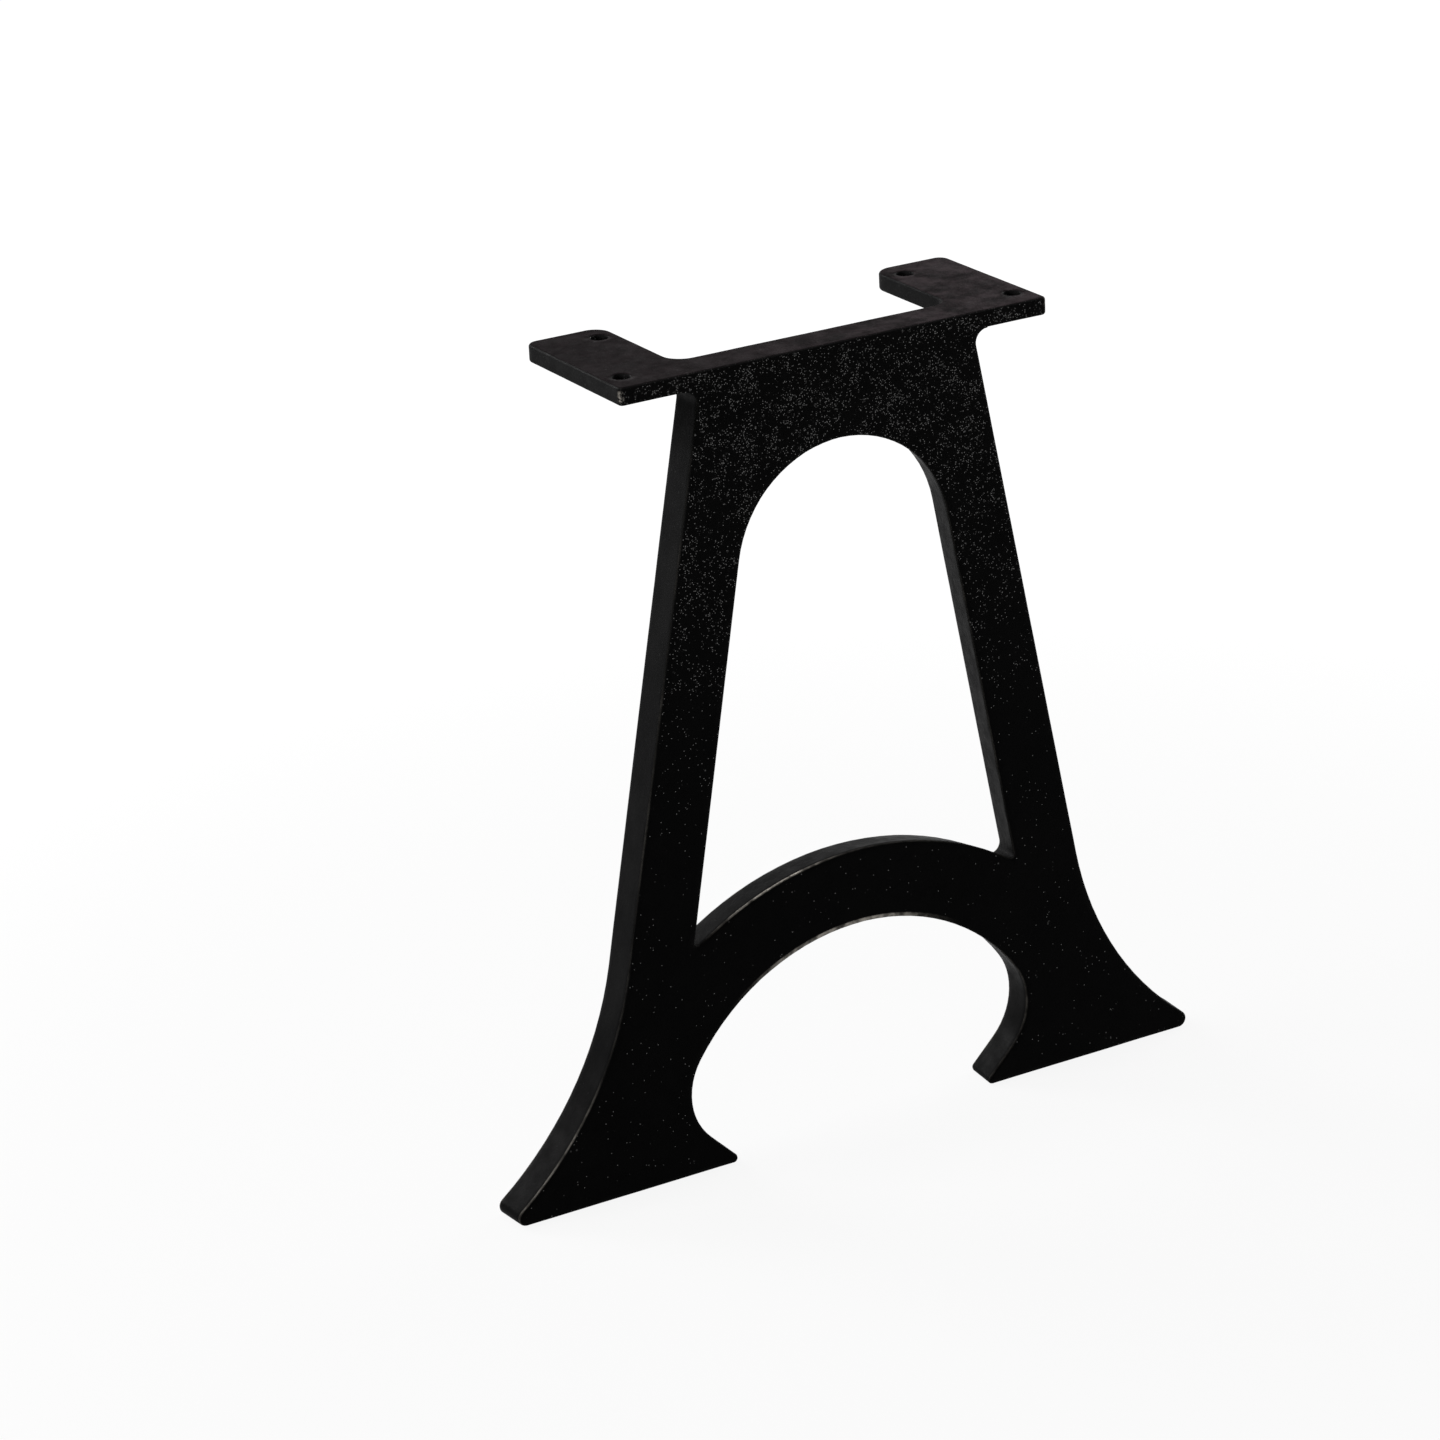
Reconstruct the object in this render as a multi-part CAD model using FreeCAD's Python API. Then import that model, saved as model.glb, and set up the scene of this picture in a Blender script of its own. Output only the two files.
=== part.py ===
import FreeCAD
import Part
import math
import os

V = FreeCAD.Vector

# Driving dimensions in millimetres and degrees. X is the width, Z is up and the outer face looks to -Y.

# Whole leg
height = 420.0
foot_spread = 405.0
wall_depth = 20.0
web_thickness = 8.0

# Mounting flange: a bar with a tab at each end
flange_length = 243.0
flange_thickness = 9.25
bar_depth = 23.0
tab_depth = 95.0
tab_width = 43.0
tab_front_corner = 2.5
tab_outer_corner = 6.0
tab_inner_corner = 10.0
tab_root_fillet = 10.0
flange_edge = 1.5

# Fixing holes, two in each tab on its diagonal
hole_diameter = 9.5
hole_side_offset = 10.0
hole_end_offset = 16.0

# Posts and feet
post_top_width = 156.4
post_lean = 10.76
overhang_fillet = 7.0
flare_radius = 184.0
tip_radius = 4.5
toe_angle = 45.0
toe_radius = 2.5

# Arch between the feet: a crown arc with a tighter arc at each hip
arch_crown = 112.5
arch_radius = 115.0
arch_width = 202.0
hip_radius = 35.0

# Window between the posts, closed below by the curved crossbar
window_crown = 371.0
window_radius = 61.0
window_lean = 10.3
window_corner = 2.0
crossbar_crown = 153.0
crossbar_radius = 165.0

# Casting draft: how far each wall moves between its front edge and its back edge
outer_draft = 0.8
arch_draft = 1.2
window_draft = 3.0

# Recess of the inner side and the rim that is left round it
rim_lip = 3.5
rim_draft = 2.7
foot_lip = 5.0
foot_draft = 4.0
recess_corner = 9.0
recess_tip = 2.5
floor_tip = 5.5
floor_toe_angle = 25.0

# Rounded edges of the body, each drawn as a few flats
front_edge = 1.2
lip_edge = 1.4
floor_edge = 2.5
round_flats = 2

# How far a cutting solid runs past the surface it cuts, and what counts as the same place
overrun = 2.0
tolerance = 1e-4

# Planes and angles that follow from the sizes above
front = -tab_depth / 2
back = front + wall_depth
web = front + web_thickness
flange_under = height - flange_thickness
post_angle = math.radians(post_lean)
window_angle = math.radians(window_lean)
toe_turn = math.radians(toe_angle)
floor_toe_turn = math.radians(floor_toe_angle)


def on_circle(centre, radius, angle):
    """The point of a circle at an angle."""
    return (centre[0] + radius * math.cos(angle), centre[1] + radius * math.sin(angle))


def toward(centre, radius, point):
    """The point of a circle that lies in the direction of another point."""
    return on_circle(centre, radius, math.atan2(point[1] - centre[1], point[0] - centre[0]))


def arc(centre, start, end):
    """An arc step: its ends, and the point half way along the shorter way between them."""
    radius = math.hypot(start[0] - centre[0], start[1] - centre[1])
    first = math.atan2(start[1] - centre[1], start[0] - centre[0])
    last = math.atan2(end[1] - centre[1], end[0] - centre[0])
    turn = (last - first + math.pi) % (2 * math.pi) - math.pi
    return (start, on_circle(centre, radius, first + turn / 2), end)


def line(start, end):
    """A straight step."""
    return (start, None, end)


def edge(step, y):
    """The edge of a step in the plane at y."""
    start, middle, end = [point and V(point[0], y, point[1]) for point in step]
    if middle is None:
        return Part.LineSegment(start, end).toShape()
    return Part.Arc(start, middle, end).toShape()


def mirrored(point):
    """The same point on the other side of the middle plane."""
    return point and (-point[0], point[1])


def closed_wire(top, right, lower, y):
    """A wire from a top step, the steps down its right side, a lower step and the mirrored steps."""
    left = [[mirrored(point) for point in reversed(step)] for step in reversed(right)]
    return Part.Wire([edge(step, y) for step in [top, *right, lower, *left]])


def along_line(origin, direction, centre, radius):
    """How far from the origin a line first comes within a radius of a centre."""
    gap = (origin[0] - centre[0], origin[1] - centre[1])
    half = gap[0] * direction[0] + gap[1] * direction[1]
    return -half - math.sqrt(half ** 2 - gap[0] ** 2 - gap[1] ** 2 + radius ** 2)


def shifted(point, direction, distance):
    return (point[0] + direction[0] * distance, point[1] + direction[1] * distance)


# Post: a straight edge that leans out, and the flare that carries it to the rounded tip of the foot
post_out = (math.cos(post_angle), math.sin(post_angle))
post_down = (math.sin(post_angle), -math.cos(post_angle))
post_top = (post_top_width / 2, flange_under)
foot_tip = (foot_spread / 2 - tip_radius, tip_radius)
flare_line = shifted(post_top, post_out, flare_radius)
flare_run = along_line(flare_line, post_down, foot_tip, flare_radius + tip_radius)
flare_centre = shifted(flare_line, post_down, flare_run)

# Arch: the crown arc runs smoothly into the hip arcs
arch_centre = (0.0, arch_crown - arch_radius)
hip_x = arch_width / 2 - hip_radius
hip_centre = (hip_x, arch_centre[1] + math.sqrt((arch_radius - hip_radius) ** 2 - hip_x ** 2))

# Window: a round head, straight sides tangent to it and the crossbar's arc below
window_centre = (0.0, window_crown - window_radius)
window_out = (math.cos(window_angle), math.sin(window_angle))
window_down = (math.sin(window_angle), -math.cos(window_angle))
crossbar_centre = (0.0, crossbar_crown - crossbar_radius)


def post_to_crown(start, outer, arch, sole, tip, toe, turn):
    """Steps from the post to the arch's crown, with the outer and arch walls moved out by given amounts."""
    flare = flare_radius - outer
    hip = hip_radius - arch
    tip_z = sole + tip
    tip_x = flare_centre[0] - math.sqrt((flare + tip) ** 2 - (flare_centre[1] - tip_z) ** 2)
    toe_z = sole + toe
    toe_x = hip_centre[0] + (hip + toe + (toe_z - hip_centre[1]) * math.sin(turn)) / math.cos(turn)
    toe_centre = (toe_x, toe_z)
    flare_start = toward(flare_centre, flare, shifted(flare_centre, post_out, -flare))
    flare_end = toward(flare_centre, flare, (tip_x, tip_z))
    flank = on_circle(toe_centre, toe, math.pi - turn)
    hip_start = on_circle(hip_centre, hip, -turn)
    crown_start = toward(arch_centre, arch_radius - arch, hip_centre)
    steps = [
        line(start, flare_start),
        arc(flare_centre, flare_start, flare_end),
        arc((tip_x, tip_z), flare_end, (tip_x, sole)),
        line((tip_x, sole), (toe_x, sole)),
        arc(toe_centre, (toe_x, sole), flank),
        line(flank, hip_start),
        arc(hip_centre, hip_start, crown_start),
    ]
    crown = (crown_start, (0.0, arch_centre[1] + arch_radius - arch), mirrored(crown_start))
    return steps, crown


def leg_wire(y, outer, arch, lift):
    """The leg's outline; it runs up inside the flange, with a fillet under the flange's overhang."""
    top_z = height - flange_edge
    reach = overhang_fillet * (1 + math.sin(post_angle))
    side = post_top[0] + (outer + reach) / math.cos(post_angle)
    fillet_centre = (side, flange_under - overhang_fillet)
    post_start = shifted(fillet_centre, post_out, -overhang_fillet)
    tip = tip_radius - lift
    toe = toe_radius - lift
    steps, crown = post_to_crown(post_start, outer, arch, lift, tip, toe, toe_turn)
    head = [
        line((side, top_z), (side, flange_under)),
        arc(fillet_centre, (side, flange_under), post_start),
    ]
    return closed_wire(line((-side, top_z), (side, top_z)), head + steps, crown, y)


def recess_wire(y, inset, top_z, sole, tip, turn):
    """The recess's outline, a rim's width inside the back edges of the leg's outer and arch walls."""
    inset_outer = inset - outer_draft
    inset_arch = inset + arch_draft
    drop = recess_corner * (1 - math.sin(post_angle))
    corner_x = post_top[0] - (inset_outer + drop) / math.cos(post_angle)
    corner = (corner_x, top_z - recess_corner)
    post_start = shifted(corner, post_out, recess_corner)
    steps, crown = post_to_crown(post_start, -inset_outer, -inset_arch, sole, tip, tip, turn)
    top = line((-corner_x, top_z), (corner_x, top_z))
    return closed_wire(top, [arc(corner, (corner_x, top_z), post_start)] + steps, crown, y)


def recess_mouth(y, growth):
    """The recess's outline at its mouth, grown all round but at the flange."""
    return recess_wire(y, rim_lip - growth, flange_under, foot_lip - growth, recess_tip + growth, toe_turn)


def recess_floor(y, inset):
    """The recess's outline near its floor, drawn in all round."""
    rim = rim_lip + rim_draft + inset
    sole = foot_lip + foot_draft + inset
    return recess_wire(y, rim, flange_under - inset, sole, floor_tip - inset, floor_toe_turn)


def window_wire(y, growth):
    """The window's outline, grown all round."""
    radius = window_radius + growth
    head = on_circle(window_centre, radius, window_angle)
    corner_line = shifted(window_centre, window_out, window_radius - window_corner)
    corner_run = along_line(corner_line, window_down, crossbar_centre, crossbar_radius + window_corner)
    corner = shifted(corner_line, window_down, corner_run)
    side_end = shifted(corner, window_out, window_corner + growth)
    bar_start = toward(crossbar_centre, crossbar_radius - growth, corner)
    top = (mirrored(head), (0.0, window_centre[1] + radius), head)
    right = [line(head, side_end), arc(corner, side_end, bar_start)]
    bar = (bar_start, (0.0, crossbar_crown - growth), mirrored(bar_start))
    return closed_wire(top, right, bar, y)


def quarter_round(radius):
    """The corners of a rounded edge: how far each lies from the wall and how far from the face."""
    turns = [math.pi / 2 * step / round_flats for step in range(round_flats + 1)]
    return [(radius * (1 - math.cos(turn)), radius * (1 - math.sin(turn))) for turn in turns]


def ruled_solid(wires):
    """A solid whose walls run straight from wire to wire, with each flat wall a true plane."""
    walls = []
    for wall in Part.makeLoft(wires, True, True).Faces:
        plane = wall.findPlane(tolerance)
        walls.append(Part.Face(plane, wall.OuterWire) if plane else wall)
    shell = Part.Shell(walls)
    shell.sewShape()
    return Part.Solid(shell)


def make_plate():
    """Posts, feet and crossbar as one drafted plate with rounded edges."""
    wires = []
    for inset, left in reversed(quarter_round(front_edge)):
        wires.append(leg_wire(front + left, -inset, -inset, inset))
    for inset, left in quarter_round(lip_edge):
        wires.append(leg_wire(back - left, outer_draft - inset, -arch_draft - inset, inset))
    return ruled_solid(wires)


def make_window():
    """The solid that cuts the window."""
    wires = [window_wire(front - overrun, front_edge)]
    for inset, left in reversed(quarter_round(front_edge)):
        wires.append(window_wire(front + left, inset))
    for inset, left in quarter_round(lip_edge):
        wires.append(window_wire(back - left, window_draft + inset))
    wires.append(window_wire(back + overrun, window_draft + lip_edge))
    return ruled_solid(wires)


def make_recess():
    """The solid that cuts the recess, with the rim round the window left standing in it."""
    lip = window_draft + rim_lip
    pocket = []
    island = []
    for inset, left in reversed(quarter_round(floor_edge)):
        pocket.append(recess_floor(web + left, inset))
        island.append(window_wire(web + left, lip + rim_draft + inset))
    for inset, left in quarter_round(lip_edge):
        pocket.append(recess_mouth(back - left, inset))
        island.append(window_wire(back - left, lip - inset))
    pocket.append(recess_mouth(back + overrun, lip_edge))
    island.append(window_wire(back + overrun, lip - lip_edge))
    return ruled_solid(pocket).cut(ruled_solid(island))


def corner_edges(solid, x, y):
    """The upright edges of a solid at a place in plan and at its mirror image."""
    near = lambda value, target: abs(value - target) < tolerance
    upright = [e for e in solid.Edges if near(e.BoundBox.XLength, 0) and near(e.BoundBox.YLength, 0)]
    return [e for e in upright if near(abs(e.BoundBox.XMin), x) and near(e.BoundBox.YMin, y)]


def make_flange():
    """The U-shaped plate that the table top lies on, with its four holes."""
    end = flange_length / 2
    inner = end - tab_width
    bar_back = front + bar_depth
    tab_back = front + tab_depth
    right = [(end, front), (end, tab_back), (inner, tab_back), (inner, bar_back)]
    left = [(-x, y) for x, y in reversed(right)]
    outline = [V(x, y, flange_under) for x, y in right + left]
    flange = Part.Face(Part.makePolygon(outline + outline[:1])).extrude(V(0, 0, flange_thickness))
    for x, y, radius in (
        (end, front, tab_front_corner),
        (end, tab_back, tab_outer_corner),
        (inner, tab_back, tab_inner_corner),
        (inner, bar_back, tab_root_fillet),
    ):
        flange = flange.makeFillet(radius, corner_edges(flange, x, y))
    faces = [f for f in flange.Faces if f.BoundBox.ZLength < tolerance]
    flange = flange.makeFillet(flange_edge, [e for f in faces for e in f.Edges])
    outer_hole = (end - hole_side_offset, front + hole_end_offset)
    inner_hole = (inner + hole_side_offset, tab_back - hole_end_offset)
    for x, y in (outer_hole, inner_hole):
        for side in (-x, x):
            base = V(side, y, flange_under - overrun)
            drill = Part.makeCylinder(hole_diameter / 2, flange_thickness + 2 * overrun, base)
            flange = flange.cut(drill)
    return flange


body = make_plate().cut(make_window()).cut(make_recess())
leg = body.fuse(make_flange()).removeSplitter().Solids[0]
os.makedirs("parts", exist_ok=True)
leg.exportStep("parts/cast_leg.step")
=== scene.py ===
import math

import bmesh
import bpy
import numpy as np
from mathutils import Matrix, Vector, noise


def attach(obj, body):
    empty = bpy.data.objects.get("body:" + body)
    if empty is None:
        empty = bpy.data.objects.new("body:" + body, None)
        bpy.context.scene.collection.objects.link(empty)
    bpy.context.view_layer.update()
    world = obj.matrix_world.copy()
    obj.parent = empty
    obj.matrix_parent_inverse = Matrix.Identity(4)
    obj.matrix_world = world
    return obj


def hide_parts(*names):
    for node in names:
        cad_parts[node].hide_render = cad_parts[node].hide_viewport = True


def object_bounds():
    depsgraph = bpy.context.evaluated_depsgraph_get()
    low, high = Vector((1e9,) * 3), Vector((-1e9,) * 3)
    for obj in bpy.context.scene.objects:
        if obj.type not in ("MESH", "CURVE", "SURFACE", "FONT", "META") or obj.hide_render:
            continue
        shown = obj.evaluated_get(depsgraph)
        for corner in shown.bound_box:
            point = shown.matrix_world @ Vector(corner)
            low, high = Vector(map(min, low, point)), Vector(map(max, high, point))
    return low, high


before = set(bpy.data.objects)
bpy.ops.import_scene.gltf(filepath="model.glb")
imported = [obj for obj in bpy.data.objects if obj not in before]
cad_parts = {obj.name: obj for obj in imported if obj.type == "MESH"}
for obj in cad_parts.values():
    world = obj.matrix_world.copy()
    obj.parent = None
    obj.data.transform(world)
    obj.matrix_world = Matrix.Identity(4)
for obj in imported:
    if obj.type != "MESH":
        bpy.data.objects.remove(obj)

cad_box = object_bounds()

# Sizes of the leg that the finish follows, in metres
FRONT_Y = cad_box[0][1]
TOP_Z = cad_box[1][2]
WEB_THICKNESS = 0.008
WALL_DEPTH = 0.020
FLANGE_THICKNESS = 0.00925
FLANGE_LENGTH = 0.243
FLANGE_END = FLANGE_LENGTH / 2
FRONT_EDGE = 0.0012
ARCH_RADIUS = 0.115
ARCH_CROWN_Z = 0.1125
ARCH_CENTRE = (0.0, 0.0, ARCH_CROWN_Z - ARCH_RADIUS)

# Dense skin over the solid: the lengths its edges are halved down to, and its relief
SKIN_EDGES = (0.064, 0.032, 0.016, 0.008, 0.004)
WELD_GAP = 1e-6
FLAT_ANGLE = math.radians(0.5)
RECESS_GRAIN = 0.00013
RECESS_GRAIN_SIZE = 0.0042
FACE_GRAIN = 0.00002
FACE_GRAIN_SIZE = 0.0055
FACE_SWELL = 0.00007
FACE_SWELL_SIZE = 0.026
EDGE_DENT = 0.0002
EDGE_DENT_SIZE = 0.012
EDGE_DENT_LEVEL = 0.15

# Where on the skin the relief goes: how far an edge stands out, and the margins of the recess
EDGE_STAND_OUT = (0.00010, 0.00045)
EDGE_PASSES = 2
MEAN_PASSES = 3
RECESS_PASSES = 3
RECESS_FLOOR_MARGIN = 0.001
RECESS_LIP_MARGIN = 0.002
RECESS_FLANGE_MARGIN = 0.001
RECESS_FACING = 0.1

# Colours of the finish, linear
BLACK_AT_FEET = (0.0032, 0.0032, 0.0033, 1)
BLACK = (0.0075, 0.0075, 0.0077, 1)
GREY = (0.0210, 0.0206, 0.0207, 1)
DARK_DUST = (0.0062, 0.0043, 0.0048, 1)
PALE_DUST = (0.043, 0.033, 0.036, 1)
# Specks: the sand skin's grain and painted glints of light on it
SPECK_GLINT_COLOUR = (0.148, 0.147, 0.145, 1)
# Bare iron where the paint is worn, also the colour of the painted highlight on the inner lips
BARE_IRON_AND_HIGHLIGHT = (0.34, 0.315, 0.28, 1)
WHITE = (1, 1, 1, 1)

# Noises of the finish: scale, detail and roughness
CLOUD_NOISE = (38.0, 3.0, 0.62)
DUST_NOISE = (80.0, 5.0, 0.72)
SPECK_NOISE = (85.0, 3.0, 0.68)
SHEEN_NOISE = (130.0, 2.0, 0.6)
FINE_NOISE = (1150.0, 1.0, 0.6)
COARSE_NOISE = (430.0, 2.0, 0.6)
RUBBED_NOISE = (24.0, 2.0, 0.5)
ALONG_NOISE = (150.0, 2.0, 0.6)
LIP_NOISE = (45.0, 2.0, 0.6)
CHIP_NOISE = (620.0, 3.0, 0.7)

# Specks, gloss and fine relief
SMALL_SPECKS = 1350.0
LARGE_SPECKS = 600.0
LARGE_SPECK_SHARE = 0.13
ROUGHNESS = (0.40, 0.54)
SPECULAR_LEVEL = 0.016
BUMP_STRENGTH = 0.5
BUMP_DISTANCE = 0.00025

# Where the front edges are rubbed most, as centre, radius and strength:
# crossbar top, right arch wall, left foot, and then the crown of the arch and a painted highlight on the
# inner lips
RUBBED_PLACES = (
    ((-0.050, FRONT_Y, 0.146), 0.050, 1.00),
    ((0.098, FRONT_Y, 0.055), 0.045, 0.22),
    ((-0.175, FRONT_Y, 0.022), 0.065, 0.36),
)
CROWN_PLACE = (-0.010, FRONT_Y, 0.108)
CROWN_REACH = 0.075
CROWN_WEAR = 0.85
# Strength of the painted highlight on the inner lips
LIP_HIGHLIGHT = 0.30

# Chips on the flange's front corners, as centre, radius, height to width and strength: left, right
CHIPS = (
    ((-FLANGE_END + 0.0007, FRONT_Y + 0.0007, TOP_Z - 0.0048), 0.0024, 2.2, 0.9),
    ((FLANGE_END - 0.0007, FRONT_Y + 0.0007, TOP_Z - 0.0035), 0.0024, 1.8, 0.8),
)

# Stage: the floor and the white world round it
FLOOR_SIZE = 30.0
FLOOR_DROP = 0.0003
FLOOR_COLOUR = (0.07, 0.07, 0.07, 1)
# The floor's glow is dimmer near the leg: a painted shade round it
FLOOR_FADE = (0.3, 1.3)
FLOOR_GLOW = (0.91, 1.0)
WORLD_LIGHT = 0.02
SKY_FADE = (0.06, 0.42)
SKY_SHOWN = (1.0, 0.25)

# Soft lights: name, place, size in metres and power in watts
LIGHT_TARGET = (0.0, 0.0, 0.2)
LIGHTS = (
    ("key_left", (-1.9, 0.55, 1.9), 1.1, 26.0),
    ("overhead", (0.3, 0.9, 2.4), 1.6, 15.0),
    ("behind", (-1.1, 2.3, 1.3), 1.2, 42.0),
    ("right_side", (2.3, 0.5, 1.1), 1.2, 22.0),
    ("front_fill", (0.8, -2.6, 1.2), 1.5, 1.5),
)

# Camera: where it stands, its angles in degrees, and its focal length in pixels of the picture
CAMERA_PLACE = (-1.13947, -1.92722, 1.08794)
CAMERA_TURN = 29.514
CAMERA_DROP = 21.405
CAMERA_ROLL = 2.645
FOCAL_PIXELS = 4738.84
PICTURE_PIXELS = 1440
SENSOR_MM = 36.0


def smooth_step(low, high, value):
    """0 below low, 1 above high and a soft ramp between."""
    share = np.clip((value - low) / (high - low), 0.0, 1.0)
    return share * share * (3.0 - 2.0 * share)


def grain(points, size, seed):
    """Smooth noise of about -1 to 1 at each point, with lumps of the given size."""
    offset = Vector((seed * 17.3, seed * 5.1, seed * 9.7))
    return np.array([noise.noise(Vector(point) / size + offset) for point in points])


def vertex_array(mesh, name):
    """A vector of each vertex, one to a row."""
    values = np.empty(len(mesh.vertices) * 3)
    mesh.vertices.foreach_get(name, values)
    return values.reshape(-1, 3)


def edge_array(mesh):
    """The two vertices of each edge, one edge to a row."""
    edges = np.empty(len(mesh.edges) * 2, dtype=np.int64)
    mesh.edges.foreach_get("vertices", edges)
    return edges.reshape(-1, 2)


def neighbour_mean(values, edges):
    """The mean of each vertex's neighbours."""
    total = np.zeros_like(values)
    count = np.zeros(len(values))
    for a, b in ((0, 1), (1, 0)):
        np.add.at(total, edges[:, a], values[edges[:, b]])
        np.add.at(count, edges[:, a], 1.0)
    return total / np.maximum(count, 1.0)[:, None]


def refined(solid):
    """The solid's mesh with its faces cut into small triangles and its edges kept where they are."""
    fine = bmesh.new()
    fine.from_mesh(solid.data)
    bmesh.ops.remove_doubles(fine, verts=fine.verts, dist=WELD_GAP)
    for limit in SKIN_EDGES:
        long_edges = [edge for edge in fine.edges if edge.calc_length() > limit]
        bmesh.ops.subdivide_edges(fine, edges=long_edges, cuts=1)
        bmesh.ops.triangulate(fine, faces=[face for face in fine.faces if len(face.verts) > 3])
        joined = [edge for edge in fine.edges if edge.is_manifold]
        flat = [edge for edge in joined if edge.calc_face_angle() < FLAT_ANGLE]
        bmesh.ops.beautify_fill(fine, faces=fine.faces[:], edges=flat)
    mesh = bpy.data.meshes.new("cast_leg_skin")
    fine.to_mesh(mesh)
    fine.free()
    return mesh


def edge_share(points, normals, edges):
    """1 where a vertex stands out from its surroundings, as on an edge, and 0 on faces and in corners."""
    mean = points
    for _ in range(MEAN_PASSES):
        mean = neighbour_mean(mean, edges)
    stand_out = ((points - mean) * normals).sum(axis=1)
    share = smooth_step(*EDGE_STAND_OUT, stand_out)
    for _ in range(EDGE_PASSES):
        share = neighbour_mean(share[:, None], edges)[:, 0] * 0.5 + share * 0.5
    return share


def recess_share(points, normals, edges):
    """1 in the recess of the inner side and 0 outside it, with a soft border."""
    depth = points[:, 1] - FRONT_Y
    inside = (depth > WEB_THICKNESS - RECESS_FLOOR_MARGIN) & (depth < WALL_DEPTH - RECESS_LIP_MARGIN)
    below_flange = points[:, 2] < TOP_Z - FLANGE_THICKNESS - RECESS_FLANGE_MARGIN
    share = (inside & below_flange & (normals[:, 1] > RECESS_FACING)).astype(float)
    for _ in range(RECESS_PASSES):
        share = neighbour_mean(share[:, None], edges)[:, 0]
    return share


def make_skin(solid):
    """A dense mesh on the solid's surface, with the casting's relief in its shape."""
    mesh = refined(solid)
    skin = bpy.data.objects.new("cast_leg_skin", mesh)
    bpy.context.collection.objects.link(skin)
    points = vertex_array(mesh, "co")
    normals = vertex_array(mesh, "normal")
    edges = edge_array(mesh)
    edge = edge_share(points, normals, edges)
    recess = recess_share(points, normals, edges)

    relief = grain(points, RECESS_GRAIN_SIZE, 1) * RECESS_GRAIN * recess
    relief += grain(points, FACE_GRAIN_SIZE, 2) * FACE_GRAIN * (1.0 - recess)
    relief += grain(points, FACE_SWELL_SIZE, 3) * FACE_SWELL * (1.0 - edge)
    dents = np.clip(grain(points, EDGE_DENT_SIZE, 4) - EDGE_DENT_LEVEL, 0.0, None)
    relief -= dents * EDGE_DENT * edge
    points = np.clip(points + normals * relief[:, None], cad_box[0], cad_box[1])
    mesh.vertices.foreach_set("co", points.ravel())
    mesh.update()

    # The material reads this number at each vertex
    attribute = mesh.attributes.new("recess", "FLOAT", "POINT")
    attribute.data.foreach_set("value", recess.astype(np.float32))
    mesh.shade_smooth()
    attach(skin, "root")
    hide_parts("cast_leg")
    return skin


class Graph:
    """A material's nodes, made and joined by short calls."""

    def __init__(self, material):
        material.use_nodes = True
        self.tree = material.node_tree
        self.tree.nodes.clear()

    def node(self, kind, inputs=None, **settings):
        node = self.tree.nodes.new(kind)
        for key, value in settings.items():
            setattr(node, key, value)
        for key, value in (inputs or {}).items():
            if isinstance(value, bpy.types.NodeSocket):
                self.tree.links.new(value, node.inputs[key])
            else:
                node.inputs[key].default_value = value
        return node

    def math(self, operation, first, second):
        return self.node("ShaderNodeMath", {0: first, 1: second}, operation=operation).outputs[0]

    def absolute(self, value):
        return self.node("ShaderNodeMath", {0: value}, operation="ABSOLUTE").outputs[0]

    def product(self, *factors):
        result = factors[0]
        for factor in factors[1:]:
            result = self.math("MULTIPLY", result, factor)
        return result

    def noise(self, vector, scale, detail, rough):
        inputs = {"Vector": vector, "Scale": scale, "Detail": detail, "Roughness": rough}
        return self.node("ShaderNodeTexNoise", inputs).outputs["Fac"]

    def ramp(self, value, low, high, start=0.0, end=1.0):
        """A soft change from start at low to end at high."""
        inputs = {"Value": value, "From Min": low, "From Max": high, "To Min": start, "To Max": end}
        node = self.node("ShaderNodeMapRange", inputs, interpolation_type="SMOOTHSTEP")
        return node.outputs["Result"]

    def blend(self, factor, first, second):
        inputs = {"Factor": factor, 6: first, 7: second}
        return self.node("ShaderNodeMix", inputs, data_type="RGBA").outputs[2]

    def parts(self, vector):
        """The X, Y and Z of a vector."""
        return self.node("ShaderNodeSeparateXYZ", {0: vector}).outputs

    def length(self, vector):
        return self.node("ShaderNodeVectorMath", {0: vector}, operation="LENGTH").outputs["Value"]

    def gap(self, position, centre, stretch):
        """How far a place is from a centre, with the axes stretched."""
        away = self.node("ShaderNodeVectorMath", {0: position, 1: centre}, operation="SUBTRACT")
        inputs = {0: away.outputs[0], 1: stretch}
        stretched = self.node("ShaderNodeVectorMath", inputs, operation="MULTIPLY")
        return self.length(stretched.outputs[0])

    def spot(self, position, centre, radius, tall=1.0):
        """1 at a place on the leg, falling to 0 at a radius round it. It is drawn out upwards by tall."""
        gap = self.gap(position, centre, (1.0, 1.0, 1.0 / tall))
        return self.ramp(gap, radius, radius * 0.3)

    def specks(self, position, scale, share):
        """Small round specks in that share of the cells of a grid without order."""
        cells = self.node("ShaderNodeTexVoronoi", {"Vector": position, "Scale": scale})
        chance = self.node("ShaderNodeSeparateColor", {0: cells.outputs["Color"]})
        chosen = self.math("LESS_THAN", chance.outputs[0], share)
        dot = self.ramp(cells.outputs["Distance"], 0.50, 0.18)
        bright = self.ramp(chance.outputs[1], 0.35, 1.0, 0.08, 1.0)
        return self.product(chosen, dot, bright)


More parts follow.
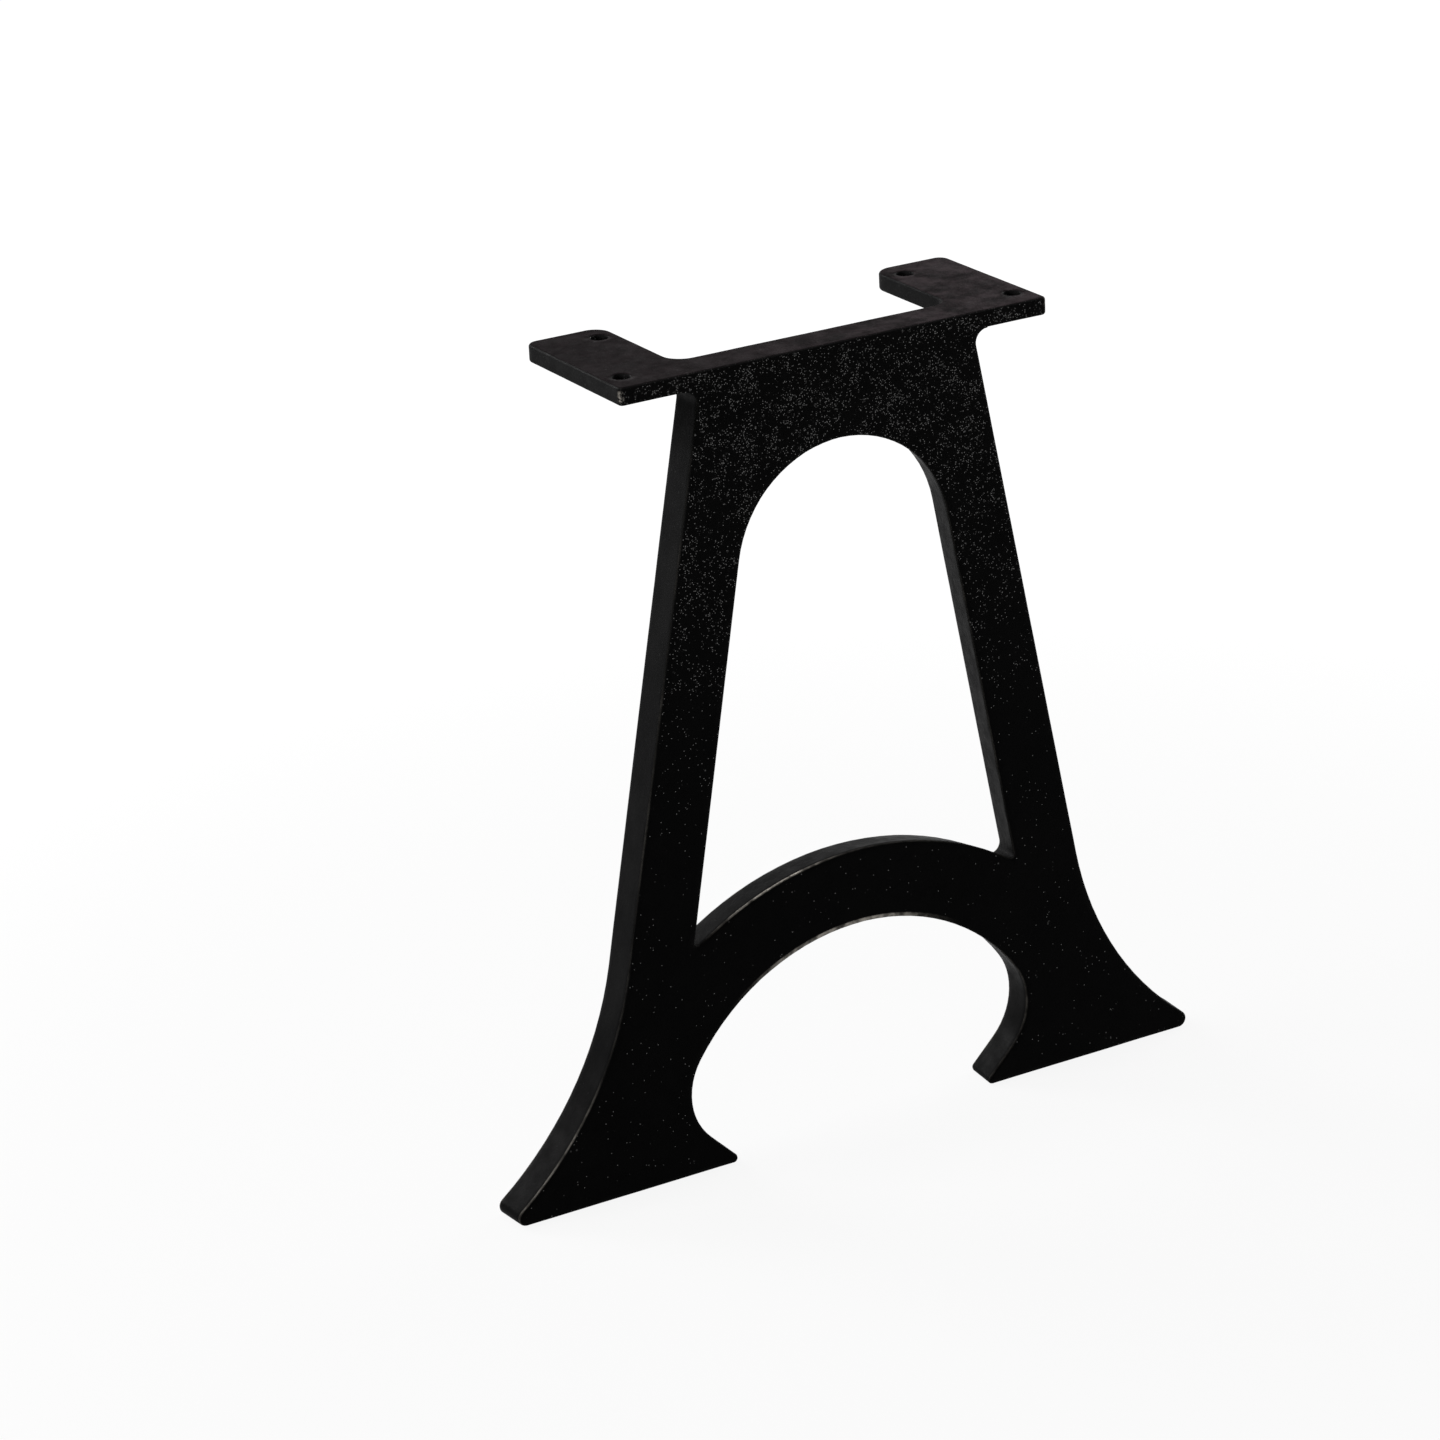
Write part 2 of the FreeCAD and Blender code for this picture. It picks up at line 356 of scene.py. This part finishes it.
def wear_and_lip_highlight(graph, position, depth, height, backward):
    """How far the paint is rubbed off, as lines on the front edges and two chips on the flange, with a
    painted highlight on the inner lips.
    """
    on_edge = graph.ramp(depth, FRONT_EDGE * 0.1, FRONT_EDGE * 0.35)
    past_edge = graph.ramp(depth, FRONT_EDGE * 0.8, FRONT_EDGE * 1.3, 1.0, 0.0)
    below_flange = graph.math("LESS_THAN", height, TOP_Z - FLANGE_THICKNESS - 0.002)
    line = graph.product(on_edge, past_edge, below_flange)

    # The front edges, a little all over and more at the rubbed places
    rubbed = graph.ramp(graph.noise(position, *RUBBED_NOISE), 0.40, 0.66, 0.02, 0.14)
    for centre, radius, strength in RUBBED_PLACES:
        place = graph.product(graph.spot(position, centre, radius), strength)
        rubbed = graph.math("MAXIMUM", rubbed, place)
    along = graph.ramp(graph.noise(position, *ALONG_NOISE), 0.30, 0.62, 0.35, 1.0)
    wear_and_highlight = graph.product(line, rubbed, along)

    # A rubbed band along the crown of the arch
    reach = graph.gap(position, ARCH_CENTRE, (1, 0, 1))
    band_start, band_end = ARCH_RADIUS + FRONT_EDGE * 1.7, ARCH_RADIUS + FRONT_EDGE * 2.4
    band = graph.ramp(reach, band_start, band_end, 1.0, 0.0)
    crown = graph.spot(position, CROWN_PLACE, CROWN_REACH)
    near_front = graph.ramp(depth, FRONT_EDGE * 0.8, FRONT_EDGE * 1.2, 1.0, 0.0)
    crown_wear = graph.product(band, crown, near_front, along, CROWN_WEAR)
    wear_and_highlight = graph.math("MAXIMUM", wear_and_highlight, crown_wear)

    # A painted highlight on the rounded lips of the inner side, found by how far they face backward
    inner = graph.ramp(depth, WALL_DEPTH - 0.0022, WALL_DEPTH - 0.0012)
    off_wall = graph.ramp(backward, 0.20, 0.35)
    off_face = graph.ramp(backward, 0.94, 0.985, 1.0, 0.0)
    rounded = graph.product(off_wall, off_face)
    patchy = graph.ramp(graph.noise(position, *LIP_NOISE), 0.34, 0.66, 0.15, 1.0)
    lip_highlight = graph.product(rounded, inner, patchy, below_flange, LIP_HIGHLIGHT)
    wear_and_highlight = graph.math("MAXIMUM", wear_and_highlight, lip_highlight)

    ragged = graph.ramp(graph.noise(position, *CHIP_NOISE), 0.42, 0.60)
    for centre, radius, tall, strength in CHIPS:
        chip = graph.product(graph.spot(position, centre, radius, tall), ragged, strength)
        wear_and_highlight = graph.math("MAXIMUM", wear_and_highlight, chip)
    return wear_and_highlight


def painted_iron():
    """Satin black paint on sand-cast iron, speckled, dusty on top and rubbed through on the edges, with
    painted glints in the specks and a painted highlight on the inner lips.
    """
    material = bpy.data.materials.new("painted_cast_iron")
    graph = Graph(material)
    position = graph.node("ShaderNodeTexCoord").outputs["Object"]
    place = graph.parts(position)
    facing = graph.parts(graph.node("ShaderNodeNewGeometry").outputs["True Normal"])
    height = place["Z"]
    depth = graph.math("SUBTRACT", place["Y"], FRONT_Y)
    recess = graph.node("ShaderNodeAttribute", attribute_name="recess").outputs["Fac"]
    higher = graph.ramp(height, 0.14, 0.43)

    # Paint: black, greyer in soft clouds and towards the top, blackest at the feet
    clouds = graph.ramp(graph.noise(position, *CLOUD_NOISE), 0.34, 0.68)
    flat_on = graph.ramp(graph.absolute(facing["Y"]), 0.3, 0.8)
    grey = graph.math("ADD", graph.product(clouds, 0.35), graph.product(higher, flat_on, 0.65))
    black = graph.blend(graph.ramp(height, 0.01, 0.16), BLACK_AT_FEET, BLACK)
    colour = graph.blend(grey, black, GREY)

    # Brown dust on top of the flange, more to the right
    on_flange = graph.ramp(height, TOP_Z - 0.004, TOP_Z - 0.002)
    upward = graph.product(graph.ramp(facing["Z"], 0.75, 0.97), on_flange)
    mottle = graph.ramp(graph.noise(position, *DUST_NOISE), 0.34, 0.68)
    to_right = graph.ramp(place["X"], -0.12, 0.12, 0.24, 1.0)
    colour = graph.blend(upward, colour, DARK_DUST)
    colour = graph.blend(graph.product(upward, mottle, to_right), colour, PALE_DUST)

    # Bright specks: grain of the sand skin and painted glints of light on it, thicker towards the top and in
    # the recess, fewer on the sides
    thick = graph.ramp(graph.noise(position, *SPECK_NOISE), 0.38, 0.66, 0.12, 1.0)
    spread = graph.ramp(higher, 0.0, 1.0, 0.04, 0.95)
    spread = graph.math("MAXIMUM", spread, graph.product(recess, 0.75))
    share = graph.product(thick, spread)
    small = graph.specks(position, SMALL_SPECKS, share)
    large = graph.specks(position, LARGE_SPECKS, graph.product(share, LARGE_SPECK_SHARE))
    off_sides = graph.ramp(flat_on, 0.0, 1.0, 0.10, 1.0)
    specks = graph.product(graph.math("MAXIMUM", small, large), off_sides)
    colour = graph.blend(specks, colour, SPECK_GLINT_COLOUR)

    wear_and_highlight = wear_and_lip_highlight(graph, position, depth, height, facing["Y"])
    # Bare iron where the paint is rubbed off, and the same pale metal as a painted highlight on the inner
    # lips
    colour = graph.blend(wear_and_highlight, colour, BARE_IRON_AND_HIGHLIGHT)
    # Metal in the worn paint, the painted lip highlight and the painted glints of the specks
    metallic_share = graph.math("MAXIMUM", graph.product(wear_and_highlight, 0.85), specks)

    # Gloss: duller where there is dust, brighter where the paint is rubbed off and on the painted lip
    # highlight
    rough = graph.ramp(graph.noise(position, *SHEEN_NOISE), 0.3, 0.7, *ROUGHNESS)
    rough = graph.math("ADD", rough, graph.product(upward, 0.06))
    rough = graph.math("SUBTRACT", rough, graph.product(wear_and_highlight, 0.12))

    # Relief that is finer than the skin's mesh
    fine = graph.noise(position, *FINE_NOISE)
    coarse = graph.noise(position, *COARSE_NOISE)
    coarse_share = graph.math("ADD", 0.35, graph.product(recess, 1.3))
    lift = graph.math("ADD", graph.product(fine, 0.5), graph.product(coarse, coarse_share))
    bump_inputs = {"Height": lift, "Strength": BUMP_STRENGTH, "Distance": BUMP_DISTANCE}
    bump = graph.node("ShaderNodeBump", bump_inputs)

    shader = graph.node(
        "ShaderNodeBsdfPrincipled",
        {
            "Base Color": colour,
            "Roughness": rough,
            "Metallic": metallic_share,
            "Normal": bump.outputs["Normal"],
            "Specular IOR Level": SPECULAR_LEVEL,
        },
    )
    graph.node("ShaderNodeOutputMaterial", {"Surface": shader.outputs["BSDF"]})
    return material


def seen_directly(graph):
    """1 for rays that show the stage itself, in the picture or in a reflection."""
    path = graph.node("ShaderNodeLightPath")
    shown = graph.math("MAXIMUM", path.outputs["Is Camera Ray"], path.outputs["Is Glossy Ray"])
    return graph.math("MAXIMUM", shown, path.outputs["Is Transmission Ray"])


def make_floor():
    """A pale floor that fades into the white background and keeps the leg's soft shadow, with its glow a
    little dimmer near the leg as a painted shade round it.
    """
    floor_mesh = bpy.data.meshes.new("floor")
    half = FLOOR_SIZE / 2
    corners = [(-half, -half, 0), (half, -half, 0), (half, half, 0), (-half, half, 0)]
    floor_mesh.from_pydata(corners, [], [(0, 1, 2, 3)])
    floor = bpy.data.objects.new("floor", floor_mesh)
    bpy.context.collection.objects.link(floor)
    floor.location.z = -FLOOR_DROP
    material = bpy.data.materials.new("pale_floor")
    graph = Graph(material)
    diffuse = graph.node("ShaderNodeBsdfDiffuse", {"Color": FLOOR_COLOUR})
    reach = graph.length(graph.node("ShaderNodeTexCoord").outputs["Object"])
    # Glow dimmer near the leg, a painted shade that joins the real shadow
    strength = graph.product(seen_directly(graph), graph.ramp(reach, *FLOOR_FADE, *FLOOR_GLOW))
    glow = graph.node("ShaderNodeEmission", {"Color": WHITE, "Strength": strength})
    both = graph.node("ShaderNodeAddShader", {0: diffuse.outputs[0], 1: glow.outputs[0]})
    graph.node("ShaderNodeOutputMaterial", {"Surface": both.outputs[0]})
    floor_mesh.materials.append(material)


def make_world():
    """White round the horizon, dimmer overhead."""
    world = bpy.data.worlds.new("studio")
    bpy.context.scene.world = world
    graph = Graph(world)
    direction = graph.parts(graph.node("ShaderNodeTexCoord").outputs["Generated"])
    shown = graph.ramp(direction["Z"], *SKY_FADE, *SKY_SHOWN)
    strength = graph.math("ADD", WORLD_LIGHT, graph.product(seen_directly(graph), shown))
    back = graph.node("ShaderNodeBackground", {"Color": WHITE, "Strength": strength})
    graph.node("ShaderNodeOutputWorld", {"Surface": back.outputs[0]})


def make_lights():
    """Square soft lights that look at the leg: the left, above, behind, the right, and a weak front fill."""
    for name, place, size, power in LIGHTS:
        lamp = bpy.data.lights.new(name, "AREA")
        lamp.shape = "SQUARE"
        lamp.size = size
        lamp.energy = power
        box = bpy.data.objects.new(name, lamp)
        bpy.context.collection.objects.link(box)
        box.location = place
        aim = Vector(LIGHT_TARGET) - Vector(place)
        box.rotation_euler = aim.to_track_quat("-Z", "Y").to_euler()


def make_camera():
    """The photograph's camera."""
    turn, drop, roll = (math.radians(angle) for angle in (CAMERA_TURN, CAMERA_DROP, CAMERA_ROLL))
    flat = math.cos(drop)
    ahead = Vector((math.sin(turn) * flat, math.cos(turn) * flat, -math.sin(drop)))
    level = Vector((math.cos(turn), -math.sin(turn), 0.0))
    upright = level.cross(ahead)
    right = level * math.cos(roll) - upright * math.sin(roll)
    up = upright * math.cos(roll) + level * math.sin(roll)
    lens = bpy.data.cameras.new("camera")
    lens.sensor_fit = "HORIZONTAL"
    lens.sensor_width = SENSOR_MM
    lens.lens = FOCAL_PIXELS / PICTURE_PIXELS * SENSOR_MM
    camera = bpy.data.objects.new("camera", lens)
    bpy.context.collection.objects.link(camera)
    axes = Matrix((right, up, -ahead)).transposed().to_4x4()
    camera.matrix_world = Matrix.Translation(CAMERA_PLACE) @ axes
    bpy.context.scene.camera = camera


skin = make_skin(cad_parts["cast_leg"])
skin.data.materials.clear()
skin.data.materials.append(painted_iron())
make_floor()
make_world()
make_lights()
make_camera()
bpy.context.scene.view_settings.view_transform = "Standard"
